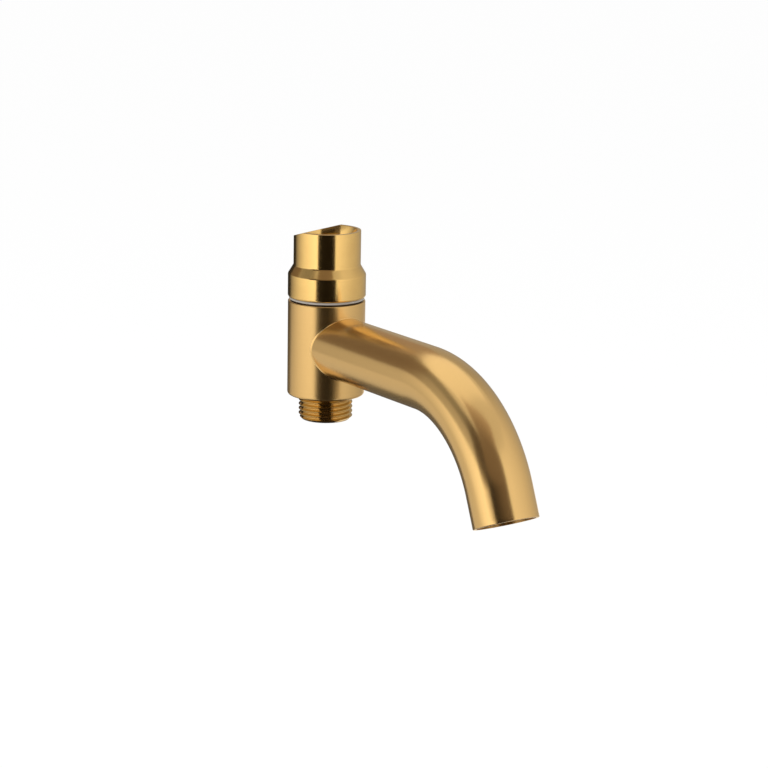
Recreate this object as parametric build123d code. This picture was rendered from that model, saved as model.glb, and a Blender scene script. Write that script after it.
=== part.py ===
from build123d import *
from math import pi
import os

# Swivel bath spout: a fixed inlet collar, a body with a bent tube that turns under it, and a hollow
# stem that carries the body and ends in a half-inch hose thread. Millimetres, +Z up the swivel axis,
# +X the way the tube reaches. The origin is on the swivel axis, at the mouth of the inlet socket.

# Spout body
body_diameter = 30.0
body_wall = 2.0
body_height = 37.3
body_top_edge = 0.4
body_bottom_edge = 1.2
body_floor = 7.0
port_step = 1.5

# Neck and collar
neck_diameter = 26.0
neck_height = 13.55
mouth_diameter = 23.0
mouth_depth = 5.85
rim_slope_angle = 16.5
rim_slope_start = 2.5
rim_slope_heading = 203.0
cone_height = 3.5
collar_overhang = 0.1
collar_band_height = 9.0
collar_edge_radius = 0.8

# Inlet socket and the web under it
socket_diameter = 20.0
socket_depth = 9.0
web_thickness = 5.0
slot_count = 4
slot_width = 1.4
slot_sweep = 56.0
slot_first_angle = 45.0

# Swivel between the collar and the body
spigot_length = 9.5
spigot_wall = 2.75
running_clearance = 0.05
lead_in = 0.4
slide_ring_thickness = 0.85
slide_ring_edge = 0.15
upper_ring_set_back = 0.5
lower_ring_set_back = 0.6
shadow_gap = 0.55
land_width = 0.75

# Rubber rings: cord size, and the groove that squeezes it
seal_cord = 1.78
seal_squeezed = 1.4
seal_corner = 0.35
seal_clearance = 0.03
groove_width = 2.4
collar_groove_count = 2
collar_groove_first = 2.0
collar_groove_pitch = 3.6

# Hollow stem
stem_bore = 9.5
stem_thread_diameter = 14.0
stem_thread_chamfer = 0.6
stem_shank_diameter = 16.0
journal_diameter = 17.0
gasket_thickness = 1.0
hose_thread_diameter = 20.955
hose_thread_length = 9.7
hose_thread_chamfer = 1.2
hose_shoulder_drop = 0.2
ring_recess_gap = 0.4
key_size = 10.0
key_depth = 8.0

# Spout tube, from the swivel axis to the outlet
tube_diameter = 24.3
tube_wall = 2.0
tube_axis_depth = 17.1
tube_run = 70.0
tube_bend_radius = 51.5
tube_bend_angle = 67.1
tube_tip = 12.2
tube_edge = 0.3

# Jet insert in the outlet
insert_seat_step = 0.75
insert_set_back = 1.8
insert_length = 7.0
insert_wall = 1.2
insert_lip = 0.6
insert_lip_height = 0.8
insert_key_count = 4
insert_key_width = 2.4
insert_key_depth = 1.4
insert_gasket_thickness = 1.2
cell_size = 2.1
cell_wall = 0.5
cell_rings = 3

# Heights along the swivel axis, from the inlet socket's mouth
rim_z = mouth_depth
cone_top_z = rim_z - neck_height
cone_bottom_z = cone_top_z - cone_height
collar_bottom_z = cone_bottom_z - collar_band_height
socket_floor_z = -socket_depth
web_bottom_z = socket_floor_z - web_thickness
spigot_end_z = collar_bottom_z - spigot_length
land_z = collar_bottom_z - slide_ring_thickness - running_clearance
body_top_z = land_z - shadow_gap
body_bottom_z = body_top_z - body_height
chamber_floor_z = body_bottom_z + body_floor
tube_axis_z = body_top_z - tube_axis_depth
hose_shoulder_z = body_bottom_z - hose_shoulder_drop
hose_end_z = body_bottom_z - hose_thread_length
lower_ring_top_z = hose_shoulder_z + slide_ring_thickness
recess_top_z = lower_ring_top_z + running_clearance
stem_shoulder_z = web_bottom_z - gasket_thickness

# Radii shared by pieces that fit together
body_radius = body_diameter / 2
collar_radius = body_radius + collar_overhang
upper_ring_radius = collar_radius - upper_ring_set_back
swivel_bore_radius = body_radius - body_wall
spigot_radius = swivel_bore_radius - running_clearance
spigot_inner_radius = spigot_radius - spigot_wall
stem_thread_radius = stem_thread_diameter / 2
stem_shank_radius = stem_shank_diameter / 2
slot_middle_radius = (stem_shank_radius + spigot_inner_radius) / 2
journal_radius = journal_diameter / 2
journal_bore_radius = journal_radius + running_clearance
hose_radius = hose_thread_diameter / 2
lower_ring_radius = hose_radius - lower_ring_set_back
ring_recess_radius = lower_ring_radius + ring_recess_gap
tube_radius = tube_diameter / 2
tube_bore_radius = tube_radius - tube_wall
port_radius = tube_bore_radius - port_step
seat_radius = tube_bore_radius + insert_seat_step
insert_radius = seat_radius - running_clearance
insert_bore_radius = insert_radius - insert_wall
groove_depth = seal_squeezed + seal_clearance - running_clearance


def turned(*points):
    """A turned piece, from the outline of its half section as radius and height pairs."""
    return revolve(Plane.XZ * make_face(Polyline(*points, close=True)), Axis.Z)


def washer(inner_radius, outer_radius, bottom_z, top_z):
    """A plain ring about the swivel axis."""
    corners = (inner_radius, bottom_z), (outer_radius, bottom_z), (outer_radius, top_z), (inner_radius, top_z)
    return turned(*corners)


def rounds_at(part, radius, height):
    """The round edges of a turned piece at a radius and height."""
    circles = part.edges().filter_by(GeomType.CIRCLE)
    near = circles.filter_by(lambda edge: abs(edge.radius - radius) < 0.001)
    return near.filter_by(lambda edge: abs(edge.arc_center.Z - height) < 0.001)


def squeezed_seal(groove_radius, height):
    """A rubber ring pressed flat between its groove and the bore, with its cord's section area kept."""
    cord_area = pi * seal_cord**2 / 4
    half_width = (cord_area + 2 * seal_corner**2) / seal_squeezed / 2
    flat_half_width = half_width - seal_corner
    outer_radius = groove_radius + seal_squeezed
    return turned(
        (groove_radius, height - flat_half_width),
        (groove_radius + seal_corner, height - half_width),
        (outer_radius - seal_corner, height - half_width),
        (outer_radius, height - flat_half_width),
        (outer_radius, height + flat_half_width),
        (outer_radius - seal_corner, height + half_width),
        (groove_radius + seal_corner, height + half_width),
        (groove_radius, height + flat_half_width),
    )


def seal_groove(outer_radius, height):
    """The ring that a seal's groove takes out of its carrier."""
    floor_radius = outer_radius - groove_depth
    half_width = groove_width / 2
    return washer(floor_radius, outer_radius + groove_depth, height - half_width, height + half_width)


def collar_groove_heights():
    first = collar_bottom_z - collar_groove_first - groove_width / 2
    return [first - index * collar_groove_pitch for index in range(collar_groove_count)]


def journal_groove_height():
    return (recess_top_z + chamber_floor_z) / 2


def make_inlet_collar():
    """Socket neck with a flared mouth and part-sloped rim, coned collar, slotted web and ringed spigot."""
    neck_radius = neck_diameter / 2
    mouth_radius = mouth_diameter / 2
    socket_radius = socket_diameter / 2
    collar = turned(
        (mouth_radius, rim_z),
        (neck_radius, rim_z),
        (neck_radius, cone_top_z),
        (collar_radius, cone_bottom_z),
        (collar_radius, collar_bottom_z),
        (spigot_radius, collar_bottom_z),
        (spigot_radius, spigot_end_z),
        (spigot_inner_radius, spigot_end_z),
        (spigot_inner_radius, web_bottom_z),
        (stem_thread_radius, web_bottom_z),
        (stem_thread_radius, socket_floor_z),
        (socket_radius, socket_floor_z),
        (socket_radius, 0),
    )
    collar = fillet(rounds_at(collar, collar_radius, collar_bottom_z), collar_edge_radius)
    collar = chamfer(rounds_at(collar, spigot_radius, spigot_end_z), lead_in)
    for height in collar_groove_heights():
        collar -= seal_groove(spigot_radius, height)

    # Curved slots let the spout's water past the stem
    slot_line = CenterArc((0, 0), slot_middle_radius, -slot_sweep / 2, slot_sweep)
    slot = extrude(SlotArc(slot_line, slot_width), web_thickness)
    for place in PolarLocations(0, slot_count, start_angle=slot_first_angle):
        collar -= Pos(0, 0, web_bottom_z) * place * slot

    # The back of the rim slopes down from a line just behind the axis
    corner = (Align.MIN, Align.CENTER, Align.MIN)
    block = Box(neck_diameter, 2 * neck_diameter, neck_diameter, align=corner)
    slope = Location((rim_slope_start, 0, rim_z), (0, rim_slope_angle, 0)) * block
    return collar - Rot(0, 0, rim_slope_heading) * slope


def make_hose_stem():
    """Hollow screw: top thread, shank, sealed journal, hose thread at its outside size, and key socket."""
    bore_radius = stem_bore / 2
    thread_radius = stem_thread_radius - running_clearance
    stem = turned(
        (bore_radius, socket_floor_z),
        (thread_radius - stem_thread_chamfer, socket_floor_z),
        (thread_radius, socket_floor_z - stem_thread_chamfer),
        (thread_radius, stem_shoulder_z),
        (stem_shank_radius, stem_shoulder_z),
        (stem_shank_radius, chamber_floor_z),
        (journal_radius, chamber_floor_z - lead_in),
        (journal_radius, hose_shoulder_z),
        (hose_radius, hose_shoulder_z),
        (hose_radius, hose_end_z + hose_thread_chamfer),
        (hose_radius - hose_thread_chamfer, hose_end_z),
        (bore_radius, hose_end_z),
    )
    stem -= seal_groove(journal_radius, journal_groove_height())
    key = RegularPolygon(key_size / 2, 6, major_radius=False)
    return stem - extrude(Plane.XY.offset(hose_end_z) * key, key_depth)


def make_slide_ring(inner_radius, outer_radius, top_z):
    """A plastic ring that the swivel runs on, with its outer edges broken."""
    bottom_z = top_z - slide_ring_thickness
    ring = washer(inner_radius, outer_radius, bottom_z, top_z)
    edges = rounds_at(ring, outer_radius, bottom_z) + rounds_at(ring, outer_radius, top_z)
    return chamfer(edges, slide_ring_edge)


def make_spout_body():
    """Bored cup that turns round the spigot and the stem, with a side port into the tube."""
    land_radius = swivel_bore_radius + land_width
    body = turned(
        (swivel_bore_radius, land_z),
        (land_radius, land_z),
        (land_radius, body_top_z),
        (body_radius, body_top_z),
        (body_radius, body_bottom_z),
        (ring_recess_radius, body_bottom_z),
        (ring_recess_radius, recess_top_z),
        (journal_bore_radius, recess_top_z),
        (journal_bore_radius, chamber_floor_z),
        (swivel_bore_radius, chamber_floor_z),
    )
    body = fillet(rounds_at(body, body_radius, body_top_z), body_top_edge)
    body = fillet(rounds_at(body, body_radius, body_bottom_z), body_bottom_edge)
    body = chamfer(rounds_at(body, swivel_bore_radius, land_z), lead_in)
    side = Plane((0, 0, tube_axis_z), z_dir=(1, 0, 0))
    return body - extrude(side * Circle(port_radius), body_diameter)


def tube_path():
    """The tube's middle line: a level run, one bend down and a straight tip."""
    run = Line((0, tube_axis_z), (tube_run, tube_axis_z))
    bend = JernArc(run @ 1, run % 1, tube_bend_radius, -tube_bend_angle)
    tip = Line(bend @ 1, bend @ 1 + (bend % 1) * tube_tip)
    return Plane.XZ * Wire([run, bend, tip])


def outlet_plane():
    """A plane on the tube's end, facing out of the outlet."""
    path = tube_path()
    return Plane(path @ 1, x_dir=(0, 1, 0), z_dir=path % 1)


def make_spout_tube():
    """Bent tube, cut to sit on the round body, with a stepped seat for the jet insert."""
    path = tube_path()
    start = Plane(path @ 0, z_dir=path % 0)
    outside = sweep(start * Circle(tube_radius), path)
    inside = sweep(start * Circle(tube_bore_radius), path)
    seat_depth = insert_set_back + insert_length + insert_gasket_thickness
    seat = extrude(outlet_plane() * Circle(seat_radius), -seat_depth)
    saddle = Pos(0, 0, tube_axis_z) * Cylinder(body_radius, 2 * tube_diameter)
    tube = outside - inside - seat - saddle
    end_edges = tube.edges().filter_by(GeomType.CIRCLE).sort_by(Axis.X)
    outer_edge = [edge for edge in end_edges if abs(edge.radius - tube_radius) < 0.001][-1]
    return chamfer(outer_edge, tube_edge)


def from_outlet(depth):
    """A plane inside the tube, parallel to the outlet and this far in from it."""
    return outlet_plane().offset(-depth)


def make_aerator_housing():
    """Screwed ring that holds the jet core behind a lip, with key notches in its front edge."""
    ring = extrude(Circle(insert_radius) - Circle(insert_bore_radius), -insert_length)
    lip = Circle(insert_bore_radius) - Circle(insert_bore_radius - insert_lip)
    ring += extrude(lip, -insert_lip_height)
    from_axis = (Align.MIN, Align.CENTER, Align.CENTER)
    notch = Box(2 * insert_radius, insert_key_width, 2 * insert_key_depth, align=from_axis)
    for place in PolarLocations(0, insert_key_count):
        ring -= place * notch
    return from_outlet(insert_set_back) * ring


def make_aerator_core():
    """Jet straightener: a disc of hexagonal cells behind the housing's lip."""
    pitch = cell_size + cell_wall
    disc_radius = insert_bore_radius - running_clearance
    across = 2 * cell_rings + 1
    cell = RegularPolygon(cell_size / 2, 6, major_radius=False)
    open_radius = cell_rings * pitch + cell_size / 4
    cells = [place * cell for place in HexLocations(pitch / 2, across, across + 1)
             if place.position.length < open_radius]
    disc = Circle(disc_radius) - cells
    core = extrude(disc, insert_lip_height - insert_length)
    return from_outlet(insert_set_back + insert_lip_height) * core


def make_aerator_gasket():
    """Flat rubber ring between the housing and the step inside the tube."""
    ring = Circle(insert_radius) - Circle(tube_bore_radius - insert_lip)
    return from_outlet(insert_set_back + insert_length) * extrude(ring, -insert_gasket_thickness)


def make_parts():
    upper_ring_bore_radius = swivel_bore_radius + running_clearance
    collar_groove_radius = spigot_radius - groove_depth
    stem_groove_radius = journal_radius - groove_depth
    return {
        "inlet_collar": make_inlet_collar(),
        "hose_stem": make_hose_stem(),
        "upper_slide_ring": make_slide_ring(upper_ring_bore_radius, upper_ring_radius, collar_bottom_z),
        "lower_slide_ring": make_slide_ring(journal_bore_radius, lower_ring_radius, lower_ring_top_z),
        "collar_o_rings": Compound(
            [squeezed_seal(collar_groove_radius, height) for height in collar_groove_heights()]
        ),
        "stem_o_ring": squeezed_seal(stem_groove_radius, journal_groove_height()),
        "stem_gasket": washer(stem_thread_radius, stem_shank_radius, stem_shoulder_z, web_bottom_z),
        "spout_body": make_spout_body(),
        "spout_tube": make_spout_tube(),
        "aerator_housing": make_aerator_housing(),
        "aerator_core": make_aerator_core(),
        "aerator_gasket": make_aerator_gasket(),
    }


os.makedirs("parts", exist_ok=True)
for node_name, solid in make_parts().items():
    export_step(solid, f"parts/{node_name}.step")
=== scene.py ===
import math

import bmesh
import bpy
from mathutils import Matrix, Vector


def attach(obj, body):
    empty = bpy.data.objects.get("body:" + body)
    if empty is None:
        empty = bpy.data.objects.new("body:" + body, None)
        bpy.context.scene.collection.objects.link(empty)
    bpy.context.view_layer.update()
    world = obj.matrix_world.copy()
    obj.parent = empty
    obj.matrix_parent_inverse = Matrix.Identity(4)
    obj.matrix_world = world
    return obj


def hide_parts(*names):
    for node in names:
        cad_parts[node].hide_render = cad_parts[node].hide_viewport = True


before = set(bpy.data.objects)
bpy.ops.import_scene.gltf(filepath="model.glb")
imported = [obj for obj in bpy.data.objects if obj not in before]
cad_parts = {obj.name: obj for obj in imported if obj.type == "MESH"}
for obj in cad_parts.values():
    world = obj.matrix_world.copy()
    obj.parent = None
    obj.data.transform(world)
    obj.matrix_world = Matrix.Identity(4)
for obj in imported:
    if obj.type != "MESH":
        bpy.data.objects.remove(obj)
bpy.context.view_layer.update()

# A swivel bath spout: polished collar and hose stem, brushed body and bent tube. Sizes are in metres,
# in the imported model's frame: +Z up the swivel axis, +X the way the tube reaches.
MM = 0.001
ROUND_STEPS = 256
MERGE = 1e-6

# Heights on the swivel axis, from the mouth of the inlet socket
RIM_Z = 5.85 * MM
CONE_TOP_Z = RIM_Z - 13.55 * MM
CONE_BOTTOM_Z = CONE_TOP_Z - 3.5 * MM
COLLAR_BOTTOM_Z = CONE_BOTTOM_Z - 9.0 * MM
SOCKET_FLOOR_Z = -9.0 * MM
WEB_BOTTOM_Z = SOCKET_FLOOR_Z - 5.0 * MM
STEM_SHOULDER_Z = WEB_BOTTOM_Z - 1.0 * MM
SPIGOT_END_Z = COLLAR_BOTTOM_Z - 9.5 * MM
LAND_Z = COLLAR_BOTTOM_Z - 0.9 * MM
BODY_TOP_Z = LAND_Z - 0.55 * MM
BODY_BOTTOM_Z = BODY_TOP_Z - 37.3 * MM
CHAMBER_FLOOR_Z = BODY_BOTTOM_Z + 7.0 * MM
RECESS_TOP_Z = BODY_BOTTOM_Z + 0.7 * MM
TUBE_AXIS_Z = BODY_TOP_Z - 17.1 * MM
HOSE_SHOULDER_Z = BODY_BOTTOM_Z - 0.2 * MM
HOSE_END_Z = BODY_BOTTOM_Z - 9.7 * MM

# Radii of the turned pieces
NECK_R = 13.0 * MM
MOUTH_R = 11.5 * MM
SOCKET_R = 10.0 * MM
COLLAR_R = 15.1 * MM
SPIGOT_R = 12.95 * MM
SPIGOT_INNER_R = 10.2 * MM
WEB_BORE_R = 7.0 * MM
BODY_R = 15.0 * MM
SWIVEL_BORE_R = 13.0 * MM
LAND_R = 13.75 * MM
RECESS_R = 10.2775 * MM
JOURNAL_BORE_R = 8.55 * MM
STEM_BORE_R = 4.75 * MM
STEM_TOP_R = 6.95 * MM
SHANK_R = 8.0 * MM
JOURNAL_R = 8.5 * MM
HOSE_R = 10.4775 * MM
LEAD_IN = 0.4 * MM

# Rubber ring grooves
GROOVE_DEPTH = 1.38 * MM
GROOVE_HALF_WIDTH = 1.2 * MM
COLLAR_GROOVES_Z = (COLLAR_BOTTOM_Z - 3.2 * MM, COLLAR_BOTTOM_Z - 6.8 * MM)
STEM_GROOVE_Z = (RECESS_TOP_Z + CHAMBER_FLOOR_Z) / 2

# Rounds and breaks on the turned edges
CONE_ROUND = 0.35 * MM
COLLAR_FOOT_ROUND = 0.8 * MM
RIM_BREAK = 0.12 * MM
BODY_TOP_ROUND = 0.4 * MM
BODY_FOOT_ROUND = 1.2 * MM
OUTLET_BREAK = 0.3 * MM
SLOT_END_SHARE = 0.48
SADDLE_OVERLAP = 0.05 * MM

# Rim slope at the back of the neck
SLOPE_ANGLE = math.radians(16.5)
SLOPE_START = 2.5 * MM
SLOPE_HEADING = math.radians(203.0)

# Slots in the collar's web
SLOT_COUNT = 4
SLOT_MIDDLE_R = 9.1 * MM
SLOT_WIDTH = 1.4 * MM
SLOT_SWEEP = math.radians(56.0)
SLOT_FIRST = math.radians(45.0)

# Hose thread, half inch: pitch, root radius, half of the groove's angle and the round of root and crest
THREAD_PITCH = 1.814 * MM
THREAD_ROOT_R = 9.316 * MM
THREAD_HALF_ANGLE = math.radians(27.5)
THREAD_ROUND = 0.249 * MM
STEM_END_CHAMFER = 1.2 * MM
STEM_TOP_CHAMFER = 0.6 * MM
KEY_CORNER_R = 5.7735 * MM
KEY_DEPTH = 8.0 * MM

# Tube: run, bend and tip
TUBE_R = 12.15 * MM
TUBE_WALL = 2.0 * MM
TUBE_RUN = 70.0 * MM
BEND_R = 51.5 * MM
BEND_ANGLE = math.radians(67.1)
TUBE_TIP = 12.2 * MM
SEAT_R = TUBE_R - TUBE_WALL + 0.75 * MM
SEAT_DEPTH = 10.0 * MM
ROOT_FILLET = 0.3 * MM
PORT_R = TUBE_R - TUBE_WALL - 1.5 * MM


def drop_selection():
    """Leaves nothing selected, so that the next operator meets only its own piece."""
    if bpy.context.object and bpy.context.object.mode != "OBJECT":
        bpy.ops.object.mode_set(mode="OBJECT")
    bpy.ops.object.select_all(action="DESELECT")


def work_on(piece):
    """Makes a piece the only one selected and active."""
    drop_selection()
    piece.select_set(True)
    bpy.context.view_layer.objects.active = piece


def start_piece(name):
    """Names the primitive just added and moves its place into its mesh."""
    piece = bpy.context.object
    piece.name = name
    piece.data.name = name
    bpy.ops.object.transform_apply(location=True, rotation=True, scale=True)
    return piece


def select_edges(piece, wanted, least_angle=0.0):
    """In edit mode, selects the edges with both ends passing a test and faces that meet sharply enough."""
    bpy.ops.mesh.select_all(action="DESELECT")
    bpy.ops.mesh.select_mode(type="EDGE")
    mesh = bmesh.from_edit_mesh(piece.data)
    for edge in mesh.edges:
        chosen = all(wanted(point.co) for point in edge.verts)
        edge.select_set(chosen and edge.calc_face_angle(0) >= least_angle)
    bmesh.update_edit_mesh(piece.data)


def near(one, other, slack=2e-6):
    return abs(one - other) < slack


def clean_mesh():
    """In edit mode, merges doubled points and turns every face outwards."""
    bpy.ops.mesh.select_all(action="SELECT")
    bpy.ops.mesh.remove_doubles(threshold=MERGE)
    bpy.ops.mesh.normals_make_consistent(inside=False)


def turned(name, outline, steps=ROUND_STEPS):
    """A turned piece: a circle drawn out ring by ring along a closed outline of radius and height pairs."""
    drop_selection()
    radius, height = outline[0]
    bpy.ops.mesh.primitive_circle_add(vertices=steps, radius=radius, location=(0, 0, height))
    piece = start_piece(name)
    bpy.ops.object.mode_set(mode="EDIT")
    bpy.ops.mesh.select_all(action="SELECT")
    for next_radius, next_height in outline[1:] + outline[:1]:
        bpy.ops.mesh.extrude_region_move(TRANSFORM_OT_translate={"value": (0, 0, next_height - height)})
        share = next_radius / radius
        bpy.ops.transform.resize(value=(share, share, 1), center_override=(0, 0, 0))
        radius, height = next_radius, next_height
    clean_mesh()
    bpy.ops.object.mode_set(mode="OBJECT")
    return piece


def bevel_selected(size, segments):
    """In edit mode, rounds the selected edges."""
    bpy.ops.mesh.bevel(offset=size, offset_type="OFFSET", segments=segments, profile=0.5, affect="EDGES")


def round_edge(piece, radius, height, size, segments):
    """Rounds a turned piece's edge at a radius and height."""
    work_on(piece)
    bpy.ops.object.mode_set(mode="EDIT")
    select_edges(piece, lambda point: near(point.xy.length, radius) and near(point.z, height))
    bevel_selected(size, segments)
    bpy.ops.object.mode_set(mode="OBJECT")


def cut(piece, cutter):
    """Takes a cutter's shape out of a piece and deletes the cutter."""
    work_on(piece)
    taking = piece.modifiers.new("cut", "BOOLEAN")
    taking.operation = "DIFFERENCE"
    taking.solver = "EXACT"
    taking.object = cutter
    bpy.ops.object.modifier_apply(modifier=taking.name)
    bpy.data.objects.remove(cutter, do_unlink=True)


def smooth(piece, degrees=28):
    """Smooths the shading between faces that meet at a small angle, and keeps large faces even."""
    work_on(piece)
    bpy.ops.object.shade_smooth_by_angle(angle=math.radians(degrees))
    even = piece.modifiers.new("even", "WEIGHTED_NORMAL")
    even.keep_sharp = True
    even.weight = 100
    bpy.ops.object.modifier_apply(modifier=even.name)


def groove(radius, height):
    """Outline points of a rubber ring's groove, from its upper edge to its lower one."""
    floor = radius - GROOVE_DEPTH
    top, bottom = height + GROOVE_HALF_WIDTH, height - GROOVE_HALF_WIDTH
    return [(radius, top), (floor, top), (floor, bottom), (radius, bottom)]


def make_collar():
    """Polished collar: sloped rim, neck, cone and band, with the slotted web and ringed spigot inside."""
    outline = [(MOUTH_R, RIM_Z), (NECK_R, RIM_Z), (NECK_R, CONE_TOP_Z), (COLLAR_R, CONE_BOTTOM_Z)]
    outline += [(COLLAR_R, COLLAR_BOTTOM_Z), (SPIGOT_R, COLLAR_BOTTOM_Z)]
    for height in COLLAR_GROOVES_Z:
        outline += groove(SPIGOT_R, height)
    outline += [(SPIGOT_R, SPIGOT_END_Z + LEAD_IN), (SPIGOT_R - LEAD_IN, SPIGOT_END_Z)]
    outline += [(SPIGOT_INNER_R, SPIGOT_END_Z), (SPIGOT_INNER_R, WEB_BOTTOM_Z), (WEB_BORE_R, WEB_BOTTOM_Z)]
    outline += [(WEB_BORE_R, SOCKET_FLOOR_Z), (SOCKET_R, SOCKET_FLOOR_Z), (SOCKET_R, 0)]
    collar = turned("collar_polished", outline)
    round_edge(collar, NECK_R, CONE_TOP_Z, CONE_ROUND, 3)
    round_edge(collar, COLLAR_R, CONE_BOTTOM_Z, CONE_ROUND, 3)
    round_edge(collar, COLLAR_R, COLLAR_BOTTOM_Z, COLLAR_FOOT_ROUND, 6)

    # The back of the rim slopes down from a line just behind the axis
    heading = Vector((math.cos(SLOPE_HEADING), math.sin(SLOPE_HEADING), 0))
    ridge = heading * SLOPE_START + Vector((0, 0, RIM_Z))
    slope_up = heading * math.sin(SLOPE_ANGLE) + Vector((0, 0, math.cos(SLOPE_ANGLE)))
    work_on(collar)
    bpy.ops.object.mode_set(mode="EDIT")
    bpy.ops.mesh.select_all(action="SELECT")
    bpy.ops.mesh.bisect(plane_co=ridge, plane_no=slope_up, use_fill=True, clear_outer=True, threshold=MERGE)

    def on_rim(point):
        on_face = near(point.z, RIM_Z) or near((point - ridge).dot(slope_up), 0)
        flare_r = SOCKET_R + (MOUTH_R - SOCKET_R) * point.z / RIM_Z
        return on_face and (near(point.xy.length, NECK_R, 4e-6) or near(point.xy.length, flare_r, 4e-6))

    select_edges(collar, on_rim, math.radians(30))
    bevel_selected(RIM_BREAK, 2)
    bpy.ops.object.mode_set(mode="OBJECT")

    for index in range(SLOT_COUNT):
        cut(collar, make_slot_cutter(SLOT_FIRST + index * math.tau / SLOT_COUNT))
    smooth(collar)
    return collar


def make_slot_cutter(middle_angle):
    """A curved slab with round ends, as tall as the web and a little more."""
    drop_selection()
    height = SOCKET_FLOOR_Z - WEB_BOTTOM_Z + 2 * MM
    middle_z = (SOCKET_FLOOR_Z + WEB_BOTTOM_Z) / 2
    sweep = SLOT_SWEEP + SLOT_WIDTH / SLOT_MIDDLE_R
    start = middle_angle - sweep / 2
    place = (SLOT_MIDDLE_R * math.cos(start), SLOT_MIDDLE_R * math.sin(start), middle_z)
    bpy.ops.mesh.primitive_plane_add(size=1, location=place, rotation=(math.pi / 2, 0, start))
    slot = bpy.context.object
    slot.scale = (SLOT_WIDTH, height, 1)
    slot = start_piece("slot_cutter")
    bpy.ops.object.mode_set(mode="EDIT")
    bpy.ops.mesh.select_all(action="SELECT")
    bpy.ops.mesh.spin(steps=24, angle=sweep, center=(0, 0, 0), axis=(0, 0, -1))
    clean_mesh()
    bpy.ops.mesh.select_all(action="DESELECT")
    bpy.ops.mesh.select_mode(type="EDGE")
    mesh = bmesh.from_edit_mesh(slot.data)
    for edge in mesh.edges:
        one, other = (point.co for point in edge.verts)
        upright = (one.xy - other.xy).length < MERGE
        edge.select_set(upright and edge.calc_face_angle(0) > math.radians(60))
    bmesh.update_edit_mesh(slot.data)
    bevel_selected(SLOT_END_SHARE * SLOT_WIDTH, 6)
    bpy.ops.object.mode_set(mode="OBJECT")
    return slot


def make_body():
    """Brushed body: a bored cup with a land for the slide ring and a port into the tube."""
    outline = [(SWIVEL_BORE_R, LAND_Z - LEAD_IN), (SWIVEL_BORE_R + LEAD_IN, LAND_Z), (LAND_R, LAND_Z)]
    outline += [(LAND_R, BODY_TOP_Z), (BODY_R, BODY_TOP_Z), (BODY_R, BODY_BOTTOM_Z)]
    outline += [(RECESS_R, BODY_BOTTOM_Z)]
    outline += [(RECESS_R, RECESS_TOP_Z), (JOURNAL_BORE_R, RECESS_TOP_Z), (JOURNAL_BORE_R, CHAMBER_FLOOR_Z)]
    outline += [(SWIVEL_BORE_R, CHAMBER_FLOOR_Z)]
    body = turned("body_brushed", outline)
    round_edge(body, BODY_R, BODY_TOP_Z, BODY_TOP_ROUND, 4)
    round_edge(body, BODY_R, BODY_BOTTOM_Z, BODY_FOOT_ROUND, 6)
    drop_selection()
    place = (BODY_R, 0, TUBE_AXIS_Z)
    bpy.ops.mesh.primitive_cylinder_add(
        vertices=96, radius=PORT_R, depth=BODY_R, location=place, rotation=(0, math.pi / 2, 0)
    )
    cut(body, start_piece("port_cutter"))
    smooth(body)
    mark_painted_shade(body)
    return body


def mark_painted_shade(body):
    """Marks the body's inner walls and the groove under the slide ring for painted shade, which darkens
    their brass where shade falls.
    """
    painted_shade = body.data.attributes.new("painted_shade", "FLOAT", "POINT")
    for index, point in enumerate(body.data.vertices):
        inside = point.co.xy.length < BODY_R - 0.5 * MM and point.co.z > RECESS_TOP_Z
        painted_shade.data[index].value = 1.0 if inside else 0.0


def thread_groove_section():
    """Half of the groove between two crests, from its round root out past the crest, as radius and rise."""
    root_middle = THREAD_ROOT_R + THREAD_ROUND
    crest_middle = HOSE_R - THREAD_ROUND
    flank_turn = math.pi / 2 - THREAD_HALF_ANGLE
    half = []
    for share in (0.25, 0.625, 1.0):
        turn = flank_turn * share
        half.append((root_middle - THREAD_ROUND * math.cos(turn), THREAD_ROUND * math.sin(turn)))
    for share in (1.0, 0.65, 0.3):
        turn = flank_turn * share
        rise = THREAD_PITCH / 2 - THREAD_ROUND * math.sin(turn)
        half.append((crest_middle + THREAD_ROUND * math.cos(turn), rise))
    half.append((HOSE_R + 0.1 * MM, half[-1][1] + 0.02 * MM))
    return half


def make_thread_cutter():
    """The helical groove between the hose thread's crests: one section screwed down the stem."""
    turns = 7
    half = thread_groove_section()
    section = half + [(radius, -rise) for radius, rise in reversed(half)]
    drop_selection()
    bpy.ops.mesh.primitive_plane_add(size=1, location=(0, 0, HOSE_END_Z - THREAD_PITCH))
    cutter = start_piece("thread_cutter")
    bpy.ops.object.mode_set(mode="EDIT")
    bpy.ops.mesh.select_mode(type="VERT")
    bpy.ops.mesh.select_all(action="SELECT")
    bpy.ops.mesh.merge(type="CENTER")
    bpy.ops.transform.translate(value=(section[0][0], 0, section[0][1]))
    for (radius, rise), (next_radius, next_rise) in zip(section, section[1:] + section[:1]):
        step = (next_radius - radius, 0, next_rise - rise)
        bpy.ops.mesh.extrude_region_move(TRANSFORM_OT_translate={"value": step})
    bpy.ops.mesh.select_all(action="SELECT")
    bpy.ops.mesh.remove_doubles(threshold=MERGE)
    bpy.ops.object.mode_set(mode="OBJECT")
    winding = cutter.modifiers.new("winding", "SCREW")
    winding.axis = "Z"
    winding.angle = math.tau
    winding.screw_offset = THREAD_PITCH
    winding.iterations = turns
    winding.steps = 128
    winding.render_steps = 128
    bpy.ops.object.modifier_apply(modifier=winding.name)
    bpy.ops.object.mode_set(mode="EDIT")
    bpy.ops.mesh.select_all(action="SELECT")
    bpy.ops.mesh.fill_holes(sides=len(section))
    clean_mesh()
    bpy.ops.object.mode_set(mode="OBJECT")
    return cutter


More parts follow.
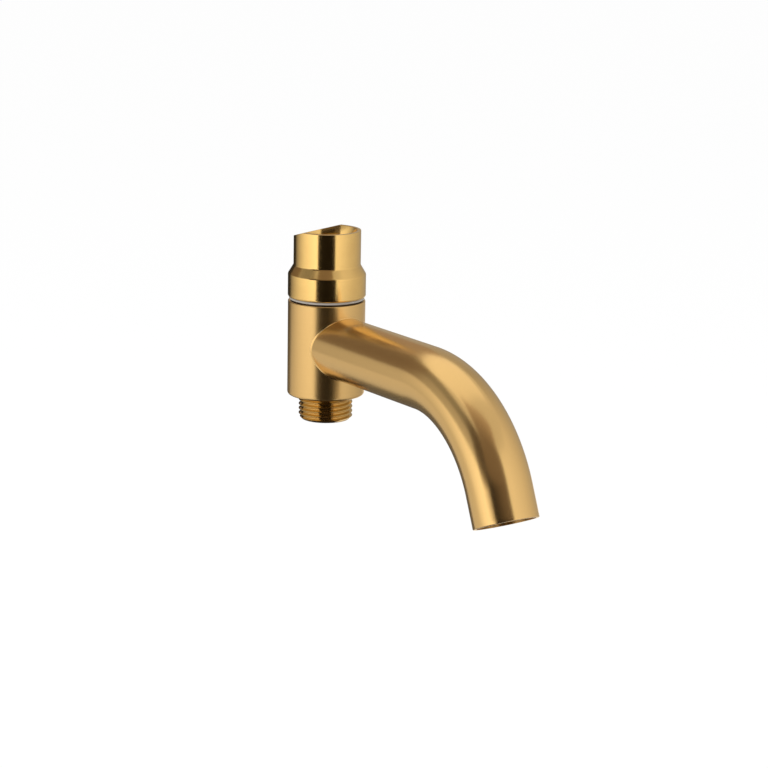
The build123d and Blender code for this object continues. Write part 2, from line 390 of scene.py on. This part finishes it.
def make_stem():
    """Polished hollow stem with the hose thread, the journal's ring groove and the key socket."""
    outline = [(STEM_BORE_R, SOCKET_FLOOR_Z), (STEM_TOP_R - STEM_TOP_CHAMFER, SOCKET_FLOOR_Z)]
    outline += [(STEM_TOP_R, SOCKET_FLOOR_Z - STEM_TOP_CHAMFER), (STEM_TOP_R, STEM_SHOULDER_Z)]
    outline += [(SHANK_R, STEM_SHOULDER_Z)]
    outline += [(SHANK_R, CHAMBER_FLOOR_Z), (JOURNAL_R, CHAMBER_FLOOR_Z - LEAD_IN)]
    outline += groove(JOURNAL_R, STEM_GROOVE_Z)
    outline += [(JOURNAL_R, HOSE_SHOULDER_Z), (HOSE_R, HOSE_SHOULDER_Z)]
    outline += [(HOSE_R, HOSE_END_Z + STEM_END_CHAMFER)]
    outline += [(HOSE_R - STEM_END_CHAMFER, HOSE_END_Z), (STEM_BORE_R, HOSE_END_Z)]
    stem = turned("stem_threaded", outline)
    cut(stem, make_thread_cutter())
    drop_selection()
    place = (0, 0, HOSE_END_Z)
    bpy.ops.mesh.primitive_cylinder_add(vertices=6, radius=KEY_CORNER_R, depth=2 * KEY_DEPTH, location=place)
    cut(stem, start_piece("key_cutter"))
    smooth(stem)
    return stem


def tube_end():
    """The outlet's middle point and the way it faces."""
    bend_centre = Vector((TUBE_RUN, 0, TUBE_AXIS_Z - BEND_R))
    facing = Vector((math.cos(BEND_ANGLE), 0, -math.sin(BEND_ANGLE)))
    bend_end = bend_centre + Vector((math.sin(BEND_ANGLE), 0, math.cos(BEND_ANGLE))) * BEND_R
    return bend_end + facing * TUBE_TIP, facing


def make_tube():
    """Brushed tube: a circle drawn along the run, spun round the bend and drawn down the tip."""
    drop_selection()
    bpy.ops.mesh.primitive_circle_add(
        vertices=192, radius=TUBE_R, location=(0, 0, TUBE_AXIS_Z), rotation=(0, math.pi / 2, 0)
    )
    tube = start_piece("tube_brushed")
    run_steps = 28
    outlet, facing = tube_end()
    bpy.ops.object.mode_set(mode="EDIT")
    bpy.ops.mesh.select_all(action="SELECT")
    for _ in range(run_steps):
        bpy.ops.mesh.extrude_region_move(TRANSFORM_OT_translate={"value": (TUBE_RUN / run_steps, 0, 0)})
    bend_centre = (TUBE_RUN, 0, TUBE_AXIS_Z - BEND_R)
    bpy.ops.mesh.spin(steps=72, angle=BEND_ANGLE, center=bend_centre, axis=(0, -1, 0))
    tip_steps = 6
    for _ in range(tip_steps):
        bpy.ops.mesh.extrude_region_move(TRANSFORM_OT_translate={"value": facing * (TUBE_TIP / tip_steps)})
    clean_mesh()
    bpy.ops.object.mode_set(mode="OBJECT")
    wall = tube.modifiers.new("wall", "SOLIDIFY")
    wall.thickness = TUBE_WALL
    wall.offset = -1
    bpy.ops.object.modifier_apply(modifier=wall.name)

    # The outlet's outer edge is broken, the insert's seat is bored, and the root is cut round to the body
    bpy.ops.object.mode_set(mode="EDIT")

    def on_outlet_edge(point):
        flat = near((point - outlet).dot(facing), 0, 5e-6)
        return flat and near((point - outlet).length, TUBE_R, 5e-6)

    select_edges(tube, on_outlet_edge)
    bevel_selected(OUTLET_BREAK, 3)
    bpy.ops.object.mode_set(mode="OBJECT")
    drop_selection()
    turn = facing.to_track_quat("Z", "Y").to_euler()
    bpy.ops.mesh.primitive_cylinder_add(
        vertices=192, radius=SEAT_R, depth=2 * SEAT_DEPTH, location=outlet, rotation=turn
    )
    cut(tube, start_piece("seat_cutter"))
    drop_selection()
    bpy.ops.mesh.primitive_cylinder_add(
        vertices=ROUND_STEPS, radius=BODY_R - SADDLE_OVERLAP, depth=4 * TUBE_R, location=(0, 0, TUBE_AXIS_Z)
    )
    cut(tube, start_piece("saddle_cutter"))
    fillet = make_root_fillet()
    work_on(tube)
    fillet.select_set(True)
    bpy.ops.object.join()
    smooth(tube)
    lay_brush_map(tube)
    return tube


def make_root_fillet():
    """A fine hollow fillet round the line where the tube meets the body, drawn out ring by ring."""
    section = [(0.0, 1.0), (0.29, 0.29), (1.0, 0.0), (-0.5, -0.5)]
    rings = [(TUBE_R + ROOT_FILLET * out, ROOT_FILLET * along) for out, along in section]
    drop_selection()
    radius, along = rings[0]
    bpy.ops.mesh.primitive_circle_add(
        vertices=192, radius=radius, location=(along, 0, TUBE_AXIS_Z), rotation=(0, math.pi / 2, 0)
    )
    fillet = start_piece("root_fillet")
    bpy.ops.object.mode_set(mode="EDIT")
    bpy.ops.mesh.select_all(action="SELECT")
    for next_radius, next_along in rings[1:] + rings[:1]:
        bpy.ops.mesh.extrude_region_move(TRANSFORM_OT_translate={"value": (next_along - along, 0, 0)})
        share = next_radius / radius
        bpy.ops.transform.resize(value=(1, share, share), center_override=(0, 0, TUBE_AXIS_Z))
        radius, along = next_radius, next_along
    clean_mesh()
    bpy.ops.object.mode_set(mode="OBJECT")
    for point in fillet.data.vertices:
        point.co.x += math.sqrt(BODY_R**2 - point.co.y**2)
    return fillet


def lay_brush_map(tube):
    """A UV map that runs round the tube and along it, in metres, for the brushing to follow."""
    bend_centre = Vector((TUBE_RUN, 0, TUBE_AXIS_Z - BEND_R))
    mesh = tube.data
    layer = mesh.uv_layers.new(name="brush")

    def along_and_round(point):
        if point.x <= TUBE_RUN:
            return point.x, math.atan2(point.y, point.z - TUBE_AXIS_Z)
        arm = point - bend_centre
        turn = min(math.atan2(arm.x, arm.z), BEND_ANGLE)
        out = Vector((math.sin(turn), 0, math.cos(turn)))
        on_line = bend_centre + out * BEND_R
        beyond = (point - on_line).dot(Vector((math.cos(turn), 0, -math.sin(turn))))
        return TUBE_RUN + turn * BEND_R + beyond, math.atan2(point.y, (point - on_line).dot(out))

    for face in mesh.polygons:
        places = [along_and_round(mesh.vertices[index].co) for index in face.vertices]
        highest = max(angle for _, angle in places)
        for loop, (along, angle) in zip(face.loop_indices, places):
            if highest - angle > math.pi:
                angle += math.tau
            layer.data[loop].uv = (angle * TUBE_R, along)


collar = make_collar()
body = make_body()
stem = make_stem()
tube = make_tube()


def new_material(name):
    """A material with its nodes on and only the shader and output in place."""
    material = bpy.data.materials.new(name)
    material.use_nodes = True
    return material, material.node_tree.nodes, material.node_tree.links


def polished_brass(name, dark, light, low_gloss, high_gloss):
    """Bright brass with faint turning marks round the axis and a thin uneven haze."""
    material, nodes, links = new_material(name)
    shader = nodes["Principled BSDF"]
    shader.inputs["Metallic"].default_value = 1.0
    shader.inputs["Coat Weight"].default_value = 0.2
    shader.inputs["Coat Roughness"].default_value = 0.2
    place = nodes.new("ShaderNodeTexCoord")
    turning = nodes.new("ShaderNodeMapping")
    turning.inputs["Scale"].default_value = (40, 40, 5200)
    links.new(place.outputs["Object"], turning.inputs["Vector"])
    marks = nodes.new("ShaderNodeTexNoise")
    marks.inputs["Scale"].default_value = 1.0
    marks.inputs["Detail"].default_value = 2.0
    links.new(turning.outputs["Vector"], marks.inputs["Vector"])
    haze = nodes.new("ShaderNodeTexNoise")
    haze.inputs["Scale"].default_value = 160.0
    haze.inputs["Detail"].default_value = 3.0
    links.new(place.outputs["Object"], haze.inputs["Vector"])
    tint = nodes.new("ShaderNodeValToRGB")
    tint.color_ramp.elements[0].position = 0.3
    tint.color_ramp.elements[0].color = dark
    tint.color_ramp.elements[1].position = 0.7
    tint.color_ramp.elements[1].color = light
    links.new(haze.outputs["Fac"], tint.inputs["Fac"])
    links.new(tint.outputs["Color"], shader.inputs["Base Color"])
    gloss = nodes.new("ShaderNodeMapRange")
    gloss.inputs["To Min"].default_value = low_gloss
    gloss.inputs["To Max"].default_value = high_gloss
    links.new(haze.outputs["Fac"], gloss.inputs["Value"])
    links.new(gloss.outputs["Result"], shader.inputs["Roughness"])
    bump = nodes.new("ShaderNodeBump")
    bump.inputs["Strength"].default_value = 0.02
    bump.inputs["Distance"].default_value = 0.00002
    links.new(marks.outputs["Fac"], bump.inputs["Height"])
    links.new(bump.outputs["Normal"], shader.inputs["Normal"])
    return material


def brushed_brass(name, on_tube, low_gloss, high_gloss):
    """Satin brass with fine brushed lines round the piece, which spread its highlights along it."""
    material, nodes, links = new_material(name)
    shader = nodes["Principled BSDF"]
    shader.inputs["Metallic"].default_value = 1.0
    shader.inputs["Coat Weight"].default_value = 0.2
    shader.inputs["Coat Roughness"].default_value = 0.2
    shader.inputs["Anisotropic"].default_value = 0.35
    shader.inputs["Anisotropic Rotation"].default_value = 0.25
    place = nodes.new("ShaderNodeTexCoord")
    lines_place = nodes.new("ShaderNodeMapping")
    grain = nodes.new("ShaderNodeTangent")
    if on_tube:
        lines_place.inputs["Scale"].default_value = (90, 9000, 1)
        links.new(place.outputs["UV"], lines_place.inputs["Vector"])
        grain.direction_type = "UV_MAP"
        grain.uv_map = "brush"
    else:
        lines_place.inputs["Scale"].default_value = (90, 90, 9000)
        links.new(place.outputs["Object"], lines_place.inputs["Vector"])
        grain.direction_type = "RADIAL"
        grain.axis = "Z"
    links.new(grain.outputs["Tangent"], shader.inputs["Tangent"])
    lines = nodes.new("ShaderNodeTexNoise")
    lines.inputs["Scale"].default_value = 1.0
    lines.inputs["Detail"].default_value = 3.0
    links.new(lines_place.outputs["Vector"], lines.inputs["Vector"])
    tint = nodes.new("ShaderNodeValToRGB")
    tint.color_ramp.elements[0].position = 0.25
    tint.color_ramp.elements[0].color = (0.84, 0.595, 0.27, 1)
    tint.color_ramp.elements[1].position = 0.75
    tint.color_ramp.elements[1].color = (0.88, 0.625, 0.29, 1)
    links.new(lines.outputs["Fac"], tint.inputs["Fac"])
    # Painted shade: brass marked by the attribute is mixed towards a near black brown, standing for the
    # shade in the groove under the slide ring and inside the body.
    painted_shade = nodes.new("ShaderNodeAttribute")
    painted_shade.attribute_name = "painted_shade"
    shaded_brass = nodes.new("ShaderNodeMix")
    shaded_brass.data_type = "RGBA"
    shaded_brass.inputs["B"].default_value = (0.05, 0.03, 0.012, 1)
    links.new(painted_shade.outputs["Fac"], shaded_brass.inputs["Factor"])
    links.new(tint.outputs["Color"], shaded_brass.inputs["A"])
    links.new(shaded_brass.outputs["Result"], shader.inputs["Base Color"])
    satin = nodes.new("ShaderNodeMapRange")
    satin.inputs["To Min"].default_value = low_gloss
    satin.inputs["To Max"].default_value = high_gloss
    links.new(lines.outputs["Fac"], satin.inputs["Value"])
    links.new(satin.outputs["Result"], shader.inputs["Roughness"])
    bump = nodes.new("ShaderNodeBump")
    bump.inputs["Strength"].default_value = 0.006
    bump.inputs["Distance"].default_value = 0.00002
    links.new(lines.outputs["Fac"], bump.inputs["Height"])
    links.new(bump.outputs["Normal"], shader.inputs["Normal"])
    return material


def moulded(name, dark, light, low_gloss, high_gloss, grain_scale):
    """Moulded plastic or rubber: a slightly mottled colour with a fine matt grain."""
    material, nodes, links = new_material(name)
    shader = nodes["Principled BSDF"]
    place = nodes.new("ShaderNodeTexCoord")
    mottle = nodes.new("ShaderNodeTexNoise")
    mottle.inputs["Scale"].default_value = grain_scale
    mottle.inputs["Detail"].default_value = 4.0
    links.new(place.outputs["Object"], mottle.inputs["Vector"])
    tint = nodes.new("ShaderNodeValToRGB")
    tint.color_ramp.elements[0].color = dark
    tint.color_ramp.elements[1].color = light
    links.new(mottle.outputs["Fac"], tint.inputs["Fac"])
    links.new(tint.outputs["Color"], shader.inputs["Base Color"])
    gloss = nodes.new("ShaderNodeMapRange")
    gloss.inputs["To Min"].default_value = low_gloss
    gloss.inputs["To Max"].default_value = high_gloss
    links.new(mottle.outputs["Fac"], gloss.inputs["Value"])
    links.new(gloss.outputs["Result"], shader.inputs["Roughness"])
    bump = nodes.new("ShaderNodeBump")
    bump.inputs["Strength"].default_value = 0.15
    bump.inputs["Distance"].default_value = 0.00003
    links.new(mottle.outputs["Fac"], bump.inputs["Height"])
    links.new(bump.outputs["Normal"], shader.inputs["Normal"])
    return material


def finish_piece(piece, material, body_name, node):
    """Gives a piece its material and says which body carries it and which node it stands for."""
    piece.data.materials.clear()
    piece.data.materials.append(material)
    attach(piece, body_name)
    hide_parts(node)


bright = polished_brass("polished_brass", (0.85, 0.60, 0.245, 1), (0.90, 0.645, 0.265, 1), 0.13, 0.20)
# The stem's brass is a darker copy of the collar's polished brass: painted shade for the stem beneath the
# body.
shaded_stem_brass = polished_brass("stem_brass_painted_shade", (0.68, 0.47, 0.19, 1), (0.74, 0.52, 0.21, 1), 0.10, 0.16)
satin_body = brushed_brass("brushed_brass_body", False, 0.27, 0.33)
satin_tube = brushed_brass("brushed_brass_tube", True, 0.19, 0.25)
finish_piece(collar, bright, "collar", "inlet_collar")
finish_piece(stem, shaded_stem_brass, "collar", "hose_stem")
finish_piece(body, satin_body, "spout", "spout_body")
finish_piece(tube, satin_tube, "spout", "spout_tube")

# The slide rings are white plastic; their grey colour is painted shade, for the shade between collar and
# body.
slide = moulded("slide_plastic", (0.36, 0.34, 0.31, 1), (0.46, 0.43, 0.39, 1), 0.35, 0.55, 3000)
insert = moulded("insert_plastic", (0.012, 0.012, 0.013, 1), (0.03, 0.03, 0.032, 1), 0.35, 0.5, 2500)
rubber = moulded("seal_rubber", (0.008, 0.008, 0.008, 1), (0.02, 0.02, 0.02, 1), 0.55, 0.75, 2000)
for node, material in (
    ("upper_slide_ring", slide),
    ("lower_slide_ring", slide),
    ("collar_o_rings", rubber),
    ("stem_o_ring", rubber),
    ("stem_gasket", rubber),
    ("aerator_housing", insert),
    ("aerator_core", insert),
    ("aerator_gasket", rubber),
):
    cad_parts[node].data.materials.clear()
    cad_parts[node].data.materials.append(material)


# Studio: a floor, a tent of soft panels round the object and one broad lamp overhead
FLOOR_Z = -0.34
TENT_R = 1.45
WALL_FOOT = -14
WALL_TOP = 12.5
TENT_TOP = 46
UNDER_R = 0.22
TENT_MIDDLE = Vector((0.04, 0.0, -0.035))
CAMERA_TURN = math.radians(58.07)


def seen_directly(nodes, links):
    """A factor of 1 for what is seen straight on, in a mirror or through glass, and 0 for soft light."""
    path = nodes.new("ShaderNodeLightPath")
    mirrored = nodes.new("ShaderNodeMath")
    mirrored.operation = "ADD"
    links.new(path.outputs["Is Camera Ray"], mirrored.inputs[0])
    links.new(path.outputs["Is Glossy Ray"], mirrored.inputs[1])
    seen = nodes.new("ShaderNodeMath")
    seen.operation = "ADD"
    seen.use_clamp = True
    links.new(mirrored.outputs[0], seen.inputs[0])
    links.new(path.outputs["Is Transmission Ray"], seen.inputs[1])
    return seen.outputs[0]


def make_floor():
    """Plain white floor, drawn out from a small circle, that keeps a faint shadow."""
    drop_selection()
    bpy.ops.mesh.primitive_circle_add(vertices=96, radius=0.5, fill_type="NGON", location=(0, 0, FLOOR_Z))
    floor = start_piece("studio_floor")
    bpy.ops.object.mode_set(mode="EDIT")
    bpy.ops.mesh.select_all(action="SELECT")
    bpy.ops.transform.resize(value=(16, 16, 1), center_override=(0, 0, FLOOR_Z))
    bpy.ops.object.mode_set(mode="OBJECT")
    material, nodes, links = new_material("studio_floor")
    nodes.remove(nodes["Principled BSDF"])
    paint = nodes.new("ShaderNodeBsdfDiffuse")
    paint.inputs["Color"].default_value = (0.95, 0.95, 0.95, 1)
    glow = nodes.new("ShaderNodeEmission")
    share = nodes.new("ShaderNodeMath")
    share.operation = "MULTIPLY"
    share.inputs[1].default_value = 0.9
    links.new(seen_directly(nodes, links), share.inputs[0])
    mix = nodes.new("ShaderNodeMixShader")
    links.new(share.outputs[0], mix.inputs["Fac"])
    links.new(paint.outputs[0], mix.inputs[1])
    links.new(glow.outputs[0], mix.inputs[2])
    links.new(mix.outputs[0], nodes["Material Output"].inputs["Surface"])
    floor.data.materials.append(material)


def make_world():
    """White surroundings to the camera and in reflections, and a plain soft light elsewhere."""
    world = bpy.data.worlds.new("studio")
    bpy.context.scene.world = world
    world.use_nodes = True
    nodes, links = world.node_tree.nodes, world.node_tree.links
    soft = nodes["Background"]
    soft.inputs["Color"].default_value = (1, 1, 1, 1)
    soft.inputs["Strength"].default_value = 0.9
    white = nodes.new("ShaderNodeBackground")
    white.inputs["Color"].default_value = (1, 1, 1, 1)
    white.inputs["Strength"].default_value = 1.0
    mix = nodes.new("ShaderNodeMixShader")
    links.new(seen_directly(nodes, links), mix.inputs["Fac"])
    links.new(soft.outputs[0], mix.inputs[1])
    links.new(white.outputs[0], mix.inputs[2])
    links.new(mix.outputs[0], nodes["World Output"].inputs["Surface"])


def panel_glow(name, colour):
    """The panels' light: each point of a panel shines by its own glow value, and seams stay soft."""
    material, nodes, links = new_material(name)
    nodes.remove(nodes["Principled BSDF"])
    glow = nodes.new("ShaderNodeAttribute")
    glow.attribute_name = "glow"
    lamp = nodes.new("ShaderNodeEmission")
    lamp.inputs["Color"].default_value = colour
    links.new(glow.outputs["Fac"], lamp.inputs["Strength"])
    links.new(lamp.outputs[0], nodes["Material Output"].inputs["Surface"])
    return material


def place_panel(panel, material, glow_at):
    """Sets a panel's glow point by point, and keeps it to reflections, out of the camera's sight."""
    glow = panel.data.attributes.new("glow", "FLOAT", "POINT")
    for index, point in enumerate(panel.data.vertices):
        glow.data[index].value = glow_at(point.co)
    panel.data.materials.append(material)
    panel.visible_camera = False
    panel.visible_diffuse = False
    panel.visible_shadow = False


def make_bent_panel(name, material, turns, rises, reaches, glows):
    """A panel swept round the object between two turns from the camera, in degrees to its right.
    Its edge is drawn from one height and reach to another, upright as a wall or level as a floor cloth."""
    drop_selection()
    first = CAMERA_TURN + math.radians(turns[0])
    sweep = math.radians(turns[1] - turns[0])
    way = Vector((math.sin(first), -math.cos(first), 0))
    low, high = (way * reach + Vector((0, 0, rise)) for reach, rise in zip(reaches, rises))
    bpy.ops.mesh.primitive_plane_add(size=0.1, location=TENT_MIDDLE + low)
    panel = start_piece(name)
    bpy.ops.object.mode_set(mode="EDIT")
    bpy.ops.mesh.select_mode(type="VERT")
    bpy.ops.mesh.select_all(action="SELECT")
    bpy.ops.mesh.merge(type="CENTER")
    bpy.ops.mesh.extrude_region_move(TRANSFORM_OT_translate={"value": high - low})
    bpy.ops.mesh.select_all(action="SELECT")
    bpy.ops.mesh.spin(steps=24, angle=sweep, center=TENT_MIDDLE, axis=(0, 0, -1))
    bpy.ops.object.mode_set(mode="OBJECT")

    def glow_at(point):
        out = point - TENT_MIDDLE
        turn = (math.atan2(out.x, -out.y) - first + 0.01) % math.tau - 0.01
        return glows[0] + (glows[1] - glows[0]) * turn / sweep

    place_panel(panel, material, glow_at)


def make_wall_panel(name, material, turns, rises, glows):
    """An upright panel, with its lower and upper edge given as rises from the object in degrees."""
    heights = [TENT_R * math.tan(math.radians(rise)) for rise in rises]
    make_bent_panel(name, material, turns, heights, (TENT_R, TENT_R), glows)


def make_floor_panel(name, material, turns, reaches, glows):
    """A level panel just above the floor."""
    level = FLOOR_Z - TENT_MIDDLE.z + 0.004
    make_bent_panel(name, material, turns, (level, level), reaches, glows)


def make_overhead_panel(name, material, middle_turn, reaches, width, height, glows):
    """A level panel over the object, reaching out from above it towards a turn from the camera."""
    drop_selection()
    turn = CAMERA_TURN + math.radians(middle_turn)
    way = Vector((math.sin(turn), -math.cos(turn), 0))
    length = reaches[1] - reaches[0]
    middle = TENT_MIDDLE + way * (reaches[0] + length / 2) + Vector((0, 0, height))
    bpy.ops.mesh.primitive_plane_add(size=1, location=middle, rotation=(0, 0, turn))
    panel = bpy.context.object
    panel.scale = (width, length, 1)
    panel = start_piece(name)

    def glow_at(point):
        share = ((point - TENT_MIDDLE).dot(way) - reaches[0]) / length
        return glows[0] + (glows[1] - glows[0]) * share

    place_panel(panel, material, glow_at)


def make_tent():
    """Softboxes left, right and overhead, grey walls between them, and dark cloth on the camera's side."""
    glow = panel_glow("panel_glow", (1.0, 0.89, 0.72, 1))
    cloth = panel_glow("cloth_glow", (1.0, 0.73, 0.52, 1))
    make_wall_panel("left_softbox", glow, (-88, -56), (WALL_FOOT, WALL_TOP), (1.00, 1.38))
    make_wall_panel("left_softbox_edge", glow, (-56, -33), (WALL_FOOT, 7), (1.38, 1.66))
    make_wall_panel("left_softbox_top", glow, (-104, -56), (WALL_TOP, 30), (0.42, 0.52))
    make_wall_panel("left_side", glow, (-135, -88), (WALL_FOOT, WALL_TOP), (0.14, 0.98))
    make_wall_panel("left_back_grey", cloth, (-180, -140), (WALL_TOP, TENT_TOP), (0.36, 0.32))
    make_wall_panel("left_back_dark", cloth, (-140, -104), (WALL_TOP, TENT_TOP), (0.16, 0.22))
    make_wall_panel("left_grey_top", glow, (-104, -56), (30, TENT_TOP), (0.32, 0.24))
    make_wall_panel("camera_side", cloth, (-33, 27), (WALL_FOOT, 19), (0.01, 0.01))
    make_wall_panel("camera_side_top", cloth, (-33, 27), (19, TENT_TOP), (0.20, 0.20))
    make_wall_panel("camera_side_left", cloth, (-56, -33), (7, TENT_TOP), (0.09, 0.09))
    make_wall_panel("right_softbox", glow, (27, 80), (WALL_FOOT, WALL_TOP), (1.28, 0.80))
    make_wall_panel("right_softbox_top", glow, (27, 80), (WALL_TOP, TENT_TOP), (0.98, 0.78))
    make_wall_panel("right_side", glow, (80, 158), (WALL_FOOT, TENT_TOP), (0.79, 0.38))
    make_wall_panel("back_right", glow, (158, 188), (WALL_FOOT, WALL_TOP), (0.34, 0.45))
    make_wall_panel("back_flag", glow, (188, 225), (WALL_FOOT, WALL_TOP), (0.03, 0.03))
    make_wall_panel("back_wall", glow, (158, 180), (WALL_TOP, TENT_TOP), (0.44, 0.40))
    make_floor_panel("under_cloth", cloth, (0, 360), (0.002, UNDER_R), (0.03, 0.03))
    make_floor_panel("camera_cloth", cloth, (-33, 27), (UNDER_R, TENT_R), (0.01, 0.01))
    make_floor_panel("left_floor", glow, (-135, -33), (UNDER_R, TENT_R), (0.62, 0.85))
    make_floor_panel("back_floor", glow, (178, 225), (UNDER_R, TENT_R), (0.14, 0.14))
    make_floor_panel("back_floor_right", glow, (150, 178), (UNDER_R, TENT_R), (0.90, 0.90))
    make_floor_panel("right_floor", glow, (27, 150), (UNDER_R, TENT_R), (0.66, 0.36))
    make_overhead_panel("ceiling", glow, -145, (-1.5, 1.5), 3.0, 1.50, (0.62, 0.74))
    make_overhead_panel("top_softbox", glow, -145, (-0.15, 1.40), 1.9, 1.46, (0.95, 1.10))
    make_overhead_panel("camera_flag", cloth, -8, (0.45, 1.45), 1.2, 1.44, (0.44, 0.14))


def make_lamp():
    """One broad soft lamp over the object, which lights the floor and the plain pieces."""
    data = bpy.data.lights.new("overhead_lamp", "AREA")
    data.shape = "DISK"
    data.size = 1.2
    data.energy = 14.0
    lamp = bpy.data.objects.new("overhead_lamp", data)
    bpy.context.scene.collection.objects.link(lamp)
    lamp.location = (-0.1, -0.2, 1.3)
    lamp.visible_glossy = False


# Camera: where it stands, what it looks at, how far it leans and its lens
CAMERA_PLACE = Vector((0.8862, -0.5548, 0.1880))
CAMERA_LOOK = Vector((-0.8142, 0.5347, -0.2263))
CAMERA_ROLL = math.radians(0.947)
CAMERA_LENS = 129.0


def make_camera():
    data = bpy.data.cameras.new("camera")
    data.lens = CAMERA_LENS
    data.sensor_width = 36.0
    data.clip_start = 0.01
    data.clip_end = 50.0
    camera = bpy.data.objects.new("camera", data)
    bpy.context.scene.collection.objects.link(camera)
    look = CAMERA_LOOK.normalized()
    level = look.cross(Vector((0, 0, 1))).normalized()
    top = level.cross(look)
    right = level * math.cos(CAMERA_ROLL) + top * math.sin(CAMERA_ROLL)
    up = top * math.cos(CAMERA_ROLL) - level * math.sin(CAMERA_ROLL)
    axes = Matrix((right, up, -look)).transposed().to_4x4()
    camera.matrix_world = Matrix.Translation(CAMERA_PLACE) @ axes
    bpy.context.scene.camera = camera


make_floor()
make_world()
make_tent()
make_lamp()
make_camera()
bpy.context.scene.view_settings.view_transform = "Standard"
